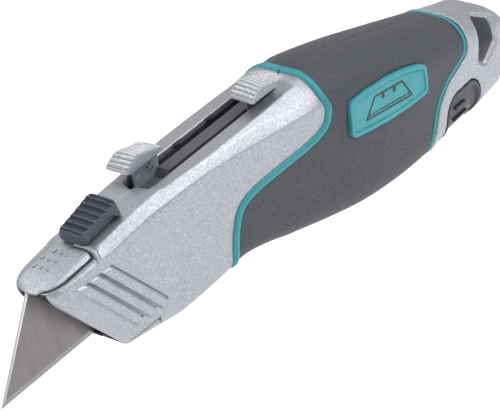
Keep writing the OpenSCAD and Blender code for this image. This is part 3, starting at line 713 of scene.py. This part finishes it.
def finish_piece(obj, body, slot_name, mat, *nodes):
    """Give the piece its material, tie it to its body and hide the CAD nodes that it stands for; slot_name is
    not used.
    """
    obj.data.materials.append(mat)
    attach(obj, body)
    if nodes:
        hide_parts(*nodes)
    return obj


# ---------------------------------------------------------------- shells, grips, beads
# Spans of the grid across the body: the seam, and the half at negative y
SEAM = (-0.16, 0.16, 0.08)
HALF_SPANS = ((-13.2, -8.6, 0.27), (-8.6, -7, 0.16), (-7, -0.16, 0.27))


def long_grid(*y):
    """Grid over the whole body, finer towards the nose and the top, with the given spans across."""
    return Grid(steps((-111, -96, 0.4), (-96, -72, 0.55), (-72, -48, 0.8), (-48, -4, 0.34), (-4, 3, 0.22),
                      (3, 36, 0.155)),
                steps(*y), steps((-38.6, -24, 0.34), (-24, -5, 0.19), (-5, 1.4, 0.16)))


def left_shell():
    g = long_grid((-0.4, -0.16, 0.12), SEAM, *((-b, -a, h) for a, b, h in HALF_SPANS[::-1]))
    b = g.body()
    s = tail_spaces(g, slot_spaces(g, shell_field(g, b)), b)
    s = both(side_ribs(g, s, b), 0.03 - g.Y, 0.1)
    s = cut(s, hook_region(g, 0.2), 0.16)
    rim = np.hypot(g.X - hook_arc(g.Y) + 0.75, b + 0.2) - 0.55
    s = join(s, np.maximum(rim, np.maximum(0.3 - g.Y, -3.2 - g.Z)), 0.35)
    return skin("shell_left", s, g)


def right_shell():
    """The half on the right, and the hook that reaches over the nose."""
    g = long_grid(*HALF_SPANS, SEAM, (0.16, 7.9, 0.27))
    b = g.body()
    s = tail_spaces(g, slot_spaces(g, shell_field(g, b, 0.25)), b)
    own = both(g.Y + 0.03, s, 0.1)
    hook = both(both(s, hook_region(g, -0.08), 0.45), -g.Y - 0.6)
    return skin("shell_right", np.minimum(own, hook), g)


finish_piece(left_shell(), "handle", "shell", SILVER, "housing_left")
finish_piece(right_shell(), "handle", "shell", SILVER, "housing_right")

# ---------------------------------------------------------------- small raised ticks on the nose and the side
NOSE_ROWS = ((22.1, -2.3, 1.7), (24.4, -3.5, 1.8), (26.8, -3.3, 1.7))
SIDE_TICKS = (5.6, 3.9, 2.0, -0.1)


def ticks(name, g, shape):
    """Raised marks 0.2 mm high, where shape is negative on the body's surface."""
    b = g.body()
    b = np.maximum(b, (g.Z - smooth(TOP, g.xs)[:, None, None])*0.96)
    finish_piece(skin(name, both(np.maximum(shape, -b - 0.3), b - 0.2, 0.08), g), "handle", "shell", SILVER)


def nose_ticks():
    """Rows of three, each row given by its x, its first y and its pitch."""
    g = Grid(steps((20.9, 28, 0.09)), steps((-5, 2.4, 0.09)), steps((-3.9, -1.4, 0.09)))
    shape = 9.0
    for x, first, pitch in NOSE_ROWS:
        for k in range(3):
            y = g.Y - first - pitch*k
            tick = np.maximum(np.abs(g.X - x - 0.35*(k - 1)*y) - 0.5 + 0.12*k, np.abs(y) - 0.24)
            shape = np.minimum(shape, tick)
    ticks("nose_ticks", g, shape + 0*g.Z)


def side_ticks():
    g = Grid(steps((-1.4, 7, 0.1)), steps((7, 9, 0.08)), steps((-4.4, -1.6, 0.1)))
    shape = 9.0
    for k, x in enumerate(SIDE_TICKS):
        tick = segment_distance(x - 0.25, -3.5 + 0.1*k, x + 0.25, -2.6, g.X, g.Z) - 0.17
        shape = np.minimum(shape, tick)
    ticks("side_ticks", g, shape + 0*g.Y)


nose_ticks()
side_ticks()
SIDES = (("left", False), ("right", True))


def grips_and_beads():
    g = Grid(steps((-98, -72, 0.5), (-72, -48, 0.6), (-48, -11, 0.4)),
             steps((-0.4, 0.16, 0.14), (0.16, 13.4, 0.32)), steps((-38.6, 1.8, 0.32)))
    b = g.body()
    area = g.side(lambda U, V: polygon(SOFT_AREA, U, V))
    half = 0.01 - g.Y
    belly = both(g.Z + 25, np.abs(g.Y) - BELLY_Y)
    ear_cut = g.side(lambda U, V: ear(U, V, EAR_GAP))
    badge_cut = np.maximum(g.side(lambda U, V: polygon(rounded(BADGE, BADGE_CORNER), U, V)), 11.1 - g.Y)
    pad = both(both(area + 0.75, b, 0.45), -(b + GRIP_T))
    pad = cut(cut(cut(both(pad, half, 0.06), belly, 0.2), ear_cut, 0.3), badge_cut, 0.2)
    bead = g.side(lambda U, V: polyline(FRONT_LINE, U, V))
    bead = np.hypot(bead/1.12, b + 0.5) - 0.98
    bead = cut(both(bead, half, 0.05), belly, 0.2)
    thin = g.side(lambda U, V: polyline(REAR_LINE, U, V))
    thin = np.hypot(thin/1.15, b + 0.35) - 0.5
    thin = cut(cut(both(thin, half, 0.1), belly, 0.1), ear_cut, 0.1)
    for side, flip in SIDES:
        finish_piece(skin("grip_pad_" + side, pad, g, flip), "handle", "grip", GRIP, "grip_" + side)
        finish_piece(skin("front_bead_" + side, bead, g, flip), "handle", "trim", TEAL, "trim_front_" + side)
        finish_piece(skin("rear_bead_" + side, thin, g, flip), "handle", "trim", TEAL, "trim_rear_" + side)


grips_and_beads()

# ---------------------------------------------------------------- badges with a plain blade pictogram
SIGN_X, SIGN_Z, SIGN_TILT = -63, -14.0, math.radians(9.5)
SIGN_BLADE = [(-8.2, -2.4), (-4.8, 2.3), (4.8, 2.3), (8.2, -2.4)]


def pictogram(U, V):
    """A trapezoid blade in outline, with its two notches and bevel line, tilted like the plate."""
    x, z = U - SIGN_X, V - SIGN_Z
    x, z = (x*math.cos(SIGN_TILT) + z*math.sin(SIGN_TILT), -x*math.sin(SIGN_TILT) + z*math.cos(SIGN_TILT))
    ring = np.abs(polygon(rounded(SIGN_BLADE, 0.5), x, z) + 0.22) - 0.24
    bevel = np.maximum(np.abs(z + 1.45) - 0.16, np.abs(x) - 6.9)
    notches = np.minimum(*(np.maximum(np.abs(x - k) - 0.5, np.abs(z - 1.5) - 0.8) for k in (-1.9, 1.9)))
    return np.minimum(np.minimum(ring, bevel), notches)


def badges():
    """Plates with a raised rim and a fine line inside it."""
    g = Grid(steps((-77.5, -48.5, 0.22)), steps((11.0, 13.0, 0.1)), steps((-21, -7.2, 0.22)))
    outline = g.side(lambda U, V: polygon(rounded(BADGE, BADGE_CORNER), U, V))
    plate = both(both(outline, g.Y - 12.84, 0.25), 11.2 - g.Y)
    plate = cut(plate, np.maximum(outline + 1.0, 12.62 - g.Y), 0.12)
    plate = cut(plate, np.maximum(np.abs(outline + 1.12) - 0.12, 12.5 - g.Y))
    sign = both(both(g.side(pictogram), g.Y - 12.72, 0.05), 12.56 - g.Y)
    for side, flip in SIDES:
        finish_piece(skin("badge_plate_" + side, plate, g, flip),
                     "handle", "badge", BADGE_TEAL, "badge_" + side)
        finish_piece(skin("badge_sign_" + side, sign, g, flip), "handle", "badge", MARK)


badges()

# ---------------------------------------------------------------- clear sliders
# The cap's top line in side view, its middle and half width across, its ribs, and the middle of its stem
CAP_TOP = [(-9.5, 3.25), (-9.15, 3.5), (-5.7, 4.45), (-2.9, 5.2), (-2.3, 5.26), (-1.8, 5.1), (0.5, 4.0),
           (0.85, 3.6), (1.0, 3.1)]
CAP_Y, CAP_HALF = -3.35, 3.15
RIB_PITCH, RIB_DEPTH = 1.07, 0.5
STEM_Y = -1.65


def slider_field(g):
    """Ribbed cap with a thin foot flange, on a stem that carries the screw boss and a locating pip."""
    s = (g.Y - CAP_Y)/CAP_HALF
    x = g.xs
    line = linear(CAP_TOP, x)
    run = np.concatenate([[0], np.cumsum(np.hypot(np.diff(x), np.diff(line)))])
    top = line[:, None, None] - 0.22*(1 - s) + 0.34*(1 - s*s)
    wave = np.abs(np.cos(math.pi*(run[:, None, None] + 0.25*s*s)/RIB_PITCH))
    ribs = RIB_DEPTH*(1 - wave)**1.3*np.clip((0.97 - np.abs(s))*9, 0, 1)
    lean = 0.06*(g.Z - 2.7)
    blank = both(both(g.X - 1.0, -9.3 - g.X, 0.2), both(g.Y + 0.2 + lean, -6.5 + lean - g.Y), 0.35)
    blank = both(blank, 2.62 + 0.1*s - g.Z, 0.15)
    blank = both(blank, (g.Z - top + ribs)*0.88, 0.1)
    flange = both(both(g.X - 1.05, -9.4 - g.X), both(g.Y + 0.12, -6.55 - g.Y), 0.4)
    flange = both(flange, np.abs(g.Z - 2.8 - 0.1*s) - 0.17, 0.1)
    cap = np.minimum(blank, flange)
    front = -1.42 + 0.02*g.Z
    stem = both(np.maximum(g.X - front, -8.75 - 0.1*g.Z - g.X), np.maximum(g.Y - STEM_Y, -2.5 - g.Y), 0.12)
    stem = both(stem, np.maximum(g.Z - 3, -3.2 - g.Z), 0.1)
    cap = join(cap, stem, 0.2)
    face = np.abs(g.Y - STEM_Y) - 0.12
    web = np.maximum(np.abs(g.X + 3.6 - 0.3*g.Z) - 0.12, face)
    cap = join(cap, np.maximum(web, np.abs(g.Z - 1) - 1.6), 0.08)
    pip = both(np.hypot(g.X + 2.4, g.Z + 0.6) - 0.78, face, 0.05)
    cap = join(cap, pip, 0.06)
    return cut(cap, np.maximum(np.hypot(g.X + 6.2, g.Z - 0.7) - 0.6, -4 - g.Y))


def sliders():
    """The right one forward, and its mirror image a whole travel back."""
    g = Grid(steps((-9.8, 1.4, 0.085)), steps((-6.9, 0.2, 0.15)), steps((-3.4, 2.4, 0.2), (2.4, 5.7, 0.085)))
    cap = slider_field(g)
    finish_piece(skin("clear_slider_right", cap, g), "right_slider", "slider", CLEAR, "slider_right")
    g.xs = g.xs - TRAVEL
    finish_piece(skin("clear_slider_left", cap, g, True), "left_slider", "slider", CLEAR, "slider_left")


sliders()

# ---------------------------------------------------------------- release button, in the nose-top frame
NOSE = math.radians(6)
BUTTON_POS = (13.8, -1.28)
CROWN = [(-6, 3.5), (-5.2, 3.8), (-4.4, 3.95), (4.6, 3.15), (5.0, 2.95), (5.5, 2.4), (6, 1.8)]
BUTTON_HALF_X, BUTTON_HALF_Y = 5.5, 4.2
TOOTH_PITCH, TOOTH_DEPTH = 1.72, 0.95


def thumb_button():
    """A crowned cap with saw teeth across it and a scallop in each side, on its neck."""
    g = Grid(steps((7.2, 20.4, 0.11)), steps((-4.5, 4.5, 0.11)), steps((-7, -1.4, 0.2), (-1.4, 3.6, 0.1)))
    x = (g.X - BUTTON_POS[0])*math.cos(NOSE) - (g.Z - BUTTON_POS[1])*math.sin(NOSE)
    z = (g.X - BUTTON_POS[0])*math.sin(NOSE) + (g.Z - BUTTON_POS[1])*math.cos(NOSE)
    crown = linear(CROWN, x) - 0.012*g.Y*g.Y
    saw = np.mod(x - 2.9, TOOTH_PITCH)
    fade = np.clip((3.3 - 0.07*x + 0.2 - np.abs(g.Y))*2.2, 0.5, 1)
    teeth = np.where((x > -4.9) & (x < 4.9), np.clip(saw*6, 0, 1)*(TOOTH_DEPTH - 0.55*saw), 0)*fade
    side = np.abs(g.Y) - BUTTON_HALF_Y + (0.43 + 0.046*x)*np.maximum(z - 1.0, 0)
    side = side + np.clip(x - 1, 0, 2)*0.35*np.maximum(1.4 - z, 0)
    button = both(side*0.85, both(x - BUTTON_HALF_X, -BUTTON_HALF_X - x), 1.2)
    button = both(button, (z - crown)*0.97, 0.3)
    button = both(button, (z - crown + teeth)*0.65, 0.08)
    button = both(button, 0.35 - z, 0.15)
    scallop = np.hypot((x - 0.2)*0.56, z + 0.1) - 2.5
    button = cut(button, np.maximum(scallop, 3.3 - np.abs(g.Y)), 0.25)
    neck = both(np.maximum(np.abs(x) - 1.15, np.abs(g.Y) - 1.5), np.maximum(z - 1.5, -5 - z))
    button = np.minimum(button, neck)
    finish_piece(skin("thumb_button", button, g), "button", "button", BUTTON, "release_button")


thumb_button()

# ---------------------------------------------------------------- return spring, squeezed by the button
SPRING_X, SPRING_Z, SPRING_R, WIRE, TURNS = (4.25, 12.3), -4.2, 1.0, 0.32, 6


def mesh_piece(name, points, faces):
    """Object from points in the slide frame."""
    mesh = bpy.data.meshes.new(name)
    mesh.from_pydata([tuple((np.array(q) + SHIFT)/1000) for q in points], [], faces)
    mesh.validate()
    obj = bpy.data.objects.new(name, mesh)
    bpy.context.scene.collection.objects.link(obj)
    return obj


def coil(name):
    """Round wire along a helix about the x axis: around rings to a turn, ring points in each."""
    around, ring = 24, 8
    n = TURNS*around
    points, faces = [], []
    for i in range(n + 1):
        a = 2*math.pi*i/around
        x = SPRING_X[0] + WIRE/2 + (SPRING_X[1] - SPRING_X[0] - WIRE)*i/n
        for j in range(ring):
            c = 2*math.pi*j/ring
            r = SPRING_R + WIRE/2*math.cos(c)
            points.append((x + WIRE/2*math.sin(c), r*math.cos(a), SPRING_Z + r*math.sin(a)))
        if i:
            p, q = (i - 1)*ring, i*ring
            faces += [(p + j, q + j, q + (j + 1) % ring, p + (j + 1) % ring) for j in range(ring)]
    faces += [tuple(range(ring)), tuple(range((n + 1)*ring - 1, n*ring - 1, -1))]
    obj = mesh_piece(name, points, faces)
    obj.data.shade_smooth()
    return obj


spring = finish_piece(coil("return_spring"), "handle", "spring", SPRING, "release_spring")
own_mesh(spring)

# ---------------------------------------------------------------- magazine with its two ears
TRAY = [(-92.2, -40), (-78, -36.6), (-62, -35.9), (-48, -34.3), (-37, -31.9), (-32.8, -28.6), (-49.2, -10.2),
        (-85.2, -15.3), (-96.6, -35)]
# The stack of spare blades: its tilt, length and the slope of its ends
STACK_TILT, STACK_LENGTH, STACK_SLOPE = math.radians(8), 62.3, 0.73
EAR_BARS = ((-90.2, -31.75, -86.6, -31.25), (-90.6, -34.35, -85.6, -33.75))


def stack_pocket(g):
    """Room for the spare blades in the tray."""
    u, v = g.X - PIVOT[0], g.Z - PIVOT[1]
    x = u*math.cos(STACK_TILT) + v*math.sin(STACK_TILT) + 3.2
    z = -u*math.sin(STACK_TILT) + v*math.cos(STACK_TILT) + 3
    ends = np.maximum(z*STACK_SLOPE - x - 0.3, x - STACK_LENGTH + z*STACK_SLOPE)
    return np.maximum(np.maximum(-0.1 - z, ends), np.abs(g.Y) - 1.25)


def magazine():
    g = Grid(steps((-98.4, -33, 0.42)), steps((-10.9, 10.9, 0.3)), steps((-38.4, -9.6, 0.34)))
    b = g.body()
    flank = g.side(lambda U, V: ear(U, V))
    shape = both(both(b, flank, 0.5), -np.maximum(b + GRIP_T - 0.2, np.abs(g.Y) - 7.4))
    inner = g.side(lambda U, V: ear(U, V, -1.1))
    shape = cut(shape, np.maximum(inner, -(b + 0.6)), 0.4)
    tray = g.side(lambda U, V: np.minimum(polygon(TRAY, U, V), pivot_distance(U, V) - EAR_R))
    tray = both(both(np.maximum(tray, np.abs(g.Y) - TRAY_Y), b + 0.3, 0.2), np.abs(g.Y) - TRAY_Y, 0.2)
    shape = np.minimum(shape, cut(tray, stack_pocket(g)))
    pin_hole = np.maximum(6.4 - np.abs(g.Y), np.abs(g.Y) - 8.6)
    shape = cut(shape, np.maximum(g.side(lambda U, V: pivot_distance(U, V) - 1.3), pin_hole))
    finish_piece(skin("magazine_clip", shape, g), "magazine_body", "magazine", DARK, "magazine")


def ear_bars():
    """Two raised grip bars on each ear."""
    g = Grid(steps((-92.5, -84, 0.11)), steps((8, 11, 0.11)), steps((-35.6, -30.4, 0.11)))
    b = g.body()
    bars = g.side(lambda U, V: np.minimum(*(segment_distance(*bar, U, V) - 0.5 for bar in EAR_BARS)))
    bars = both(np.maximum(bars, -1.1 - b), b + 0.04, 0.35)
    for side, flip in SIDES:
        finish_piece(skin("ear_bars_" + side, bars, g, flip), "magazine_body", "magazine", PAD)


magazine()
ear_bars()

# ---------------------------------------------------------------- blades with ground bevels
# Length, height, run of the sloped ends, distance from the middle plane, half thickness, height of the bevel
BLADE_LEN, BLADE_H, RUN, BLADE_Y, HALF_T, BEVEL = 62, 18.8, 13.7, 2.2, 0.3, 1.3
# Notches: distance from the blade's middle, half width, depth
NOTCH_X, NOTCH_R, NOTCH_DEEP = 6.5, 1.55, 3.4
# Material slots of the bevels and of the sloped ends
HONED, BARE = 1, 2


def blade_loop(inset, low, ends):
    """Outline with its two notches, drawn inside the edges by the given amounts."""
    top = BLADE_H - inset
    lean = math.hypot(RUN, BLADE_H)/BLADE_H*ends
    foot, head = (RUN*z/BLADE_H + lean for z in (low, top))
    points = [(BLADE_LEN - foot, low), (foot, low), (head, top)]
    for x in (BLADE_LEN/2 - NOTCH_X, BLADE_LEN/2 + NOTCH_X):
        r, deep = NOTCH_R + inset, BLADE_H - NOTCH_DEEP + NOTCH_R
        points.append((x - r, top))
        points += [(x - r*math.cos(math.pi*k/10), deep - r*math.sin(math.pi*k/10)) for k in range(11)]
        points.append((x + r, top))
    points.append((BLADE_LEN - head, top))
    return points


def blade_mesh(name, body, y, back, node_name):
    """A blade with its edge ground and its ends bare, moved back from the nose."""
    outer, inner = blade_loop(0, 0, 0), blade_loop(0.16, BEVEL, 0.4)
    n = len(outer)
    thick = [0.02 if z < 0.1 else 0.18 for x, z in outer]
    loops = ([(x, t, z) for (x, z), t in zip(outer, thick)], [(x, -t, z) for (x, z), t in zip(outer, thick)],
             [(x, HALF_T, z) for x, z in inner], [(x, -HALF_T, z) for x, z in inner])
    points = [(TIP_X - BLADE_LEN - back + x, y + t, EDGE_Z + z) for loop in loops for x, t, z in loop]
    faces = [tuple(range(2*n, 3*n)), tuple(range(4*n - 1, 3*n - 1, -1))]
    for i in range(n):
        j = (i + 1) % n
        faces += [(2*n + j, 2*n + i, i, j), (j, i, n + i, n + j), (n + j, n + i, 3*n + i, 3*n + j)]
    obj = mesh_piece(name, points, faces)
    for k, f in enumerate(obj.data.polygons[2:]):
        f.material_index = BARE if k//3 in (1, n - 1) else HONED
    finish_piece(obj, body, "blade", BLADE, node_name)
    obj.data.materials.append(EDGE)
    obj.data.materials.append(BRIGHT)


blade_mesh("ground_blade_right", "right_slider", -BLADE_Y, 0, "blade_right")
blade_mesh("ground_blade_left", "left_slider", BLADE_Y, TRAVEL, "blade_left")

# ---------------------------------------------------------------- CAD nodes that stay
KEPT_NODES = {"center_rail": RAIL, "carrier_right": DARK, "carrier_left": DARK,
              "slider_screw_right": BRIGHT, "slider_screw_left": BRIGHT,
              "detent_spring_right": SPRING, "detent_spring_left": SPRING, "release_wedge": BRIGHT,
              "spare_blades": BLADE, "magazine_pivots": BRIGHT, "magazine_catch": SPRING,
              "housing_screws": BRIGHT, "locating_dowels": BRIGHT}
for name, mat in KEPT_NODES.items():
    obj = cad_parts[name]
    obj.data.materials.clear()
    obj.data.materials.append(mat)

# ---------------------------------------------------------------- floor and light
FLOOR_SIZE, FLOOR_GAP = 6, 0.06
WORLD_STRENGTH = 0.56
centre = (Vector(cad_box[0]) + Vector(cad_box[1]))/2


def pale_floor():
    """A plain floor below the knife, which glows a little so that it stays white."""
    bpy.ops.mesh.primitive_plane_add(size=FLOOR_SIZE, location=(0, 0, cad_box[0][2] - FLOOR_GAP))
    floor = bpy.context.object
    floor.name = "floor"
    m, _, p = material("pale_floor", (0.94, 0.94, 0.94), 0.0, 0.9)
    p.inputs["Emission Color"].default_value = (1, 1, 1, 1)
    p.inputs["Emission Strength"].default_value = 0.24
    floor.data.materials.append(m)
    return floor


def studio_world():
    world = bpy.data.worlds.new("studio")
    world.use_nodes = True
    world.node_tree.nodes["Background"].inputs["Color"].default_value = (1, 1, 1, 1)
    world.node_tree.nodes["Background"].inputs["Strength"].default_value = WORLD_STRENGTH
    bpy.context.scene.world = world


def softbox(name, direction, distance, size, power):
    """A square lamp that faces the middle of the knife."""
    d = Vector(direction).normalized()
    light = bpy.data.lights.new(name, "AREA")
    light.shape, light.size, light.energy = "SQUARE", size, power
    obj = bpy.data.objects.new(name, light)
    obj.location = centre + d*distance
    obj.rotation_euler = (-d).to_track_quat("-Z", "Y").to_euler()
    bpy.context.scene.collection.objects.link(obj)


floor = pale_floor()
studio_world()
softbox("key", (-0.5, 0.54, 0.66), 0.7, 0.4, 1.5)
softbox("front", (0.6, -0.42, 0.7), 0.7, 0.45, 1.3)
softbox("back", (-0.05, -0.6, 0.8), 0.8, 0.35, 0.8)
softbox("top", (-0.4, 0.08, 0.91), 0.8, 0.35, 1.3)
softbox("left", (0.2, 0.82, 0.52), 0.8, 0.3, 0.7)

# ---------------------------------------------------------------- camera
# The point it looks at in the slide frame, its distance in metres, and its forward and right directions
LOOK_AT, DISTANCE = Vector((-11.93, 17.86, -7.74)), 0.4913
FORWARD = Vector((-0.57513, -0.6171, -0.53703)).normalized()
RIGHT = Vector((-0.62794, 0.75378, -0.19367)).normalized()


def product_camera():
    data = bpy.data.cameras.new("camera")
    data.lens, data.sensor_width = 180, 36
    data.clip_start, data.clip_end = 0.01, 20
    camera = bpy.data.objects.new("camera", data)
    bpy.context.scene.collection.objects.link(camera)
    target = (LOOK_AT + Vector(SHIFT))/1000
    turn = Matrix((RIGHT, RIGHT.cross(FORWARD), -FORWARD)).transposed().to_4x4()
    camera.matrix_world = Matrix.Translation(target - FORWARD*DISTANCE) @ turn
    bpy.context.scene.camera = camera


product_camera()
bpy.context.scene.view_settings.view_transform = "Standard"

bpy.context.view_layer.update()
